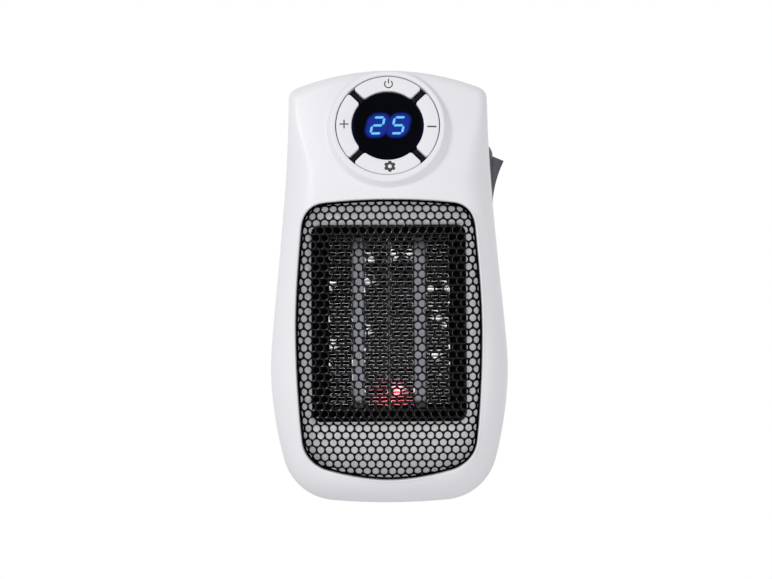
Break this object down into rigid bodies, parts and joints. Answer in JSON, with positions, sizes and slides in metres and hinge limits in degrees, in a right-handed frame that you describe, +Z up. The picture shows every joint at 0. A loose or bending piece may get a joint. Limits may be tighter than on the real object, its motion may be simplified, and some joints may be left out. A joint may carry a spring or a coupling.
{
  "type": "plug-in fan heater",
  "caption": "Plug-in fan heater: white housing on a turning wall plug, perforated outlet grille over a ceramic element, round control panel with a lit display, rocker switch on the side.",
  "frame": {"origin": "centre of the plug's face against the socket", "axes": "+Y into the wall, +Z up, the front face looks towards -Y"},
  "size_m": [0.0976, 0.1219, 0.177],
  "materials": {
    "white_plastic": "satin",
    "button_plastic": "satin",
    "black_sheet": "satin",
    "black_plastic": "satin",
    "switch_plastic": "satin",
    "baffle_plastic": "matte",
    "fin_aluminium": "bright",
    "tube_anodised": "satin",
    "lens_black": "polished",
    "steel": "satin",
    "plated_brass": "polished",
    "board_green": "satin",
    "fan_plastic": "matte",
    "relay_blue": "satin",
    "cutout_ceramic": "matte",
    "lead_insulation": "matte"
  },
  "bodies": {
    "plug": {"plug_body": "white_plastic", "plug_pin_left": "plated_brass", "plug_pin_right": "plated_brass", "earth_clip_top": "plated_brass", "earth_clip_bottom": "plated_brass", "spring_washer": "steel", "swivel_retainer": "black_plastic", "retainer_screw_1": "steel", "retainer_screw_2": "steel", "retainer_screw_3": "steel"},
    "housing": {"front_shell": "white_plastic", "back_shell": "white_plastic", "grille_mesh": "black_sheet", "air_baffle": "baffle_plastic", "ptc_frame": "black_plastic", "fin_stack_1": "fin_aluminium", "fin_stack_2": "fin_aluminium", "fin_stack_3": "fin_aluminium", "fin_stack_4": "fin_aluminium", "element_tube_left": "tube_anodised", "element_tube_right": "tube_anodised", "contact_plate": "fin_aluminium", "fan_shroud": "fan_plastic", "motor_can": "steel", "button_frame": "black_plastic", "tact_switch_power": "black_plastic", "tact_switch_plus": "black_plastic", "tact_switch_settings": "black_plastic", "tact_switch_minus": "black_plastic", "display_lens": "lens_black", "display_module": "black_plastic", "control_board": "board_green", "switch_housing": "switch_plastic", "switch_terminal_1": "plated_brass", "switch_terminal_2": "plated_brass", "housing_screw_1": "steel", "housing_screw_2": "steel", "housing_screw_3": "steel", "housing_screw_4": "steel", "power_board": "board_green", "relay": "relay_blue", "capacitor": "cutout_ceramic", "temperature_sensor": "black_plastic", "thermal_cutout": "cutout_ceramic", "heater_lead_live": "lead_insulation", "heater_lead_neutral": "lead_insulation", "display_lead": "lead_insulation"},
    "fan_rotor": {"motor_shaft": "steel", "impeller": "fan_plastic"},
    "rocker": {"rocker": "switch_plastic"},
    "button_power": {"button_power": "button_plastic"},
    "button_plus": {"button_plus": "button_plastic"},
    "button_settings": {"button_settings": "button_plastic"},
    "button_minus": {"button_minus": "button_plastic"}
  },
  "joints": [
    {"name": "plug_swivel", "type": "hinge", "parent": "plug", "child": "housing", "pos_m": [0, 0, 0], "axis": [0, 1, 0], "range_deg": [-90, 90]},
    {"name": "fan_spin", "type": "hinge", "parent": "housing", "child": "fan_rotor", "pos_m": [0, -0.05305, -0.03837], "axis": [0, 1, 0], "continuous": true},
    {"name": "rocker_tilt", "type": "hinge", "parent": "housing", "child": "rocker", "pos_m": [0.04124, -0.048, 0.0202], "axis": [0, -1, 0], "range_deg": [0, 30]},
    {"name": "power_press", "type": "slide", "parent": "housing", "child": "button_power", "axis": [0, 0.9546, -0.298], "range_m": [0, 0.0006], "stiffness_N_per_m": 800},
    {"name": "plus_press", "type": "slide", "parent": "housing", "child": "button_plus", "axis": [0, 0.9546, -0.298], "range_m": [0, 0.0006], "stiffness_N_per_m": 800},
    {"name": "settings_press", "type": "slide", "parent": "housing", "child": "button_settings", "axis": [0, 0.9546, -0.298], "range_m": [0, 0.0006], "stiffness_N_per_m": 800},
    {"name": "minus_press", "type": "slide", "parent": "housing", "child": "button_minus", "axis": [0, 0.9546, -0.298], "range_m": [0, 0.0006], "stiffness_N_per_m": 800}
  ]
}
